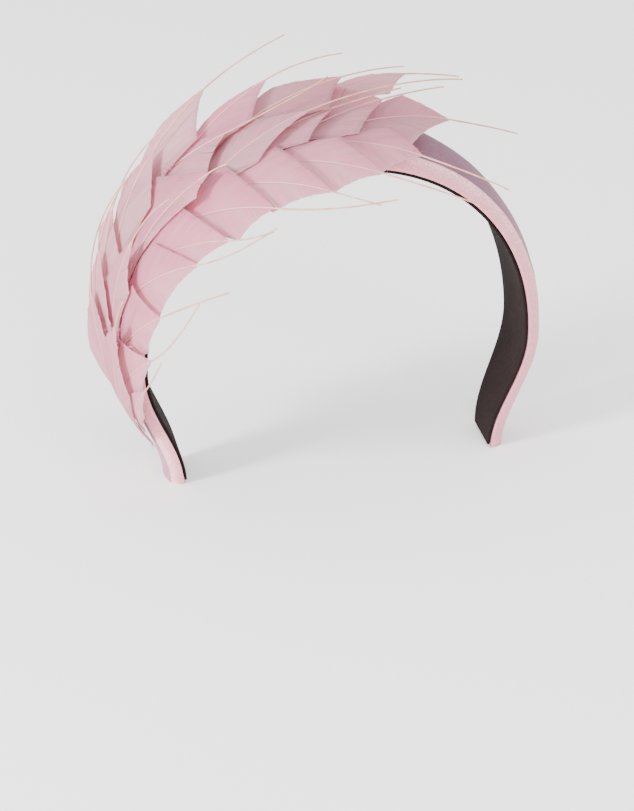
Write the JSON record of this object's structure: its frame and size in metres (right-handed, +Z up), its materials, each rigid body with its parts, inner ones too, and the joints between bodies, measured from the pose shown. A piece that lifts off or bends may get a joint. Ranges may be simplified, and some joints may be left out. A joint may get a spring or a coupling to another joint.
{
  "type": "feather fascinator headband",
  "caption": "Padded fabric headband, open below, with trimmed arrowhead feathers laid like shingles over one side and the crown.",
  "frame": {"origin": "middle of the bounding box in X and Y, on the surface that the band's two ends stand on", "axes": "+Z up through the crown; the wearer faces -Y; +X to the wearer's left, away from the feathers' roots"},
  "size_m": [0.1768, 0.1106, 0.1657],
  "materials": {
    "band": "satin, padded",
    "lining": "matt ribbon",
    "feather": "soft, slightly glossy barbs"
  },
  "bodies": {
    "root": {"headband": "band", "band_lining": "lining", "feather_front_1": "feather", "feather_front_2": "feather", "feather_front_3": "feather", "feather_front_4": "feather", "feather_front_5": "feather", "feather_front_6": "feather", "feather_front_7": "feather", "feather_front_8": "feather", "feather_front_9": "feather", "feather_middle_1": "feather", "feather_middle_2": "feather", "feather_middle_3": "feather", "feather_middle_4": "feather", "feather_middle_5": "feather", "feather_middle_6": "feather", "feather_middle_7": "feather", "feather_middle_8": "feather", "feather_back_1": "feather", "feather_back_2": "feather", "feather_back_3": "feather", "feather_back_4": "feather", "feather_back_5": "feather", "feather_back_6": "feather", "feather_back_7": "feather", "feather_back_8": "feather"}
  },
  "joints": []
}
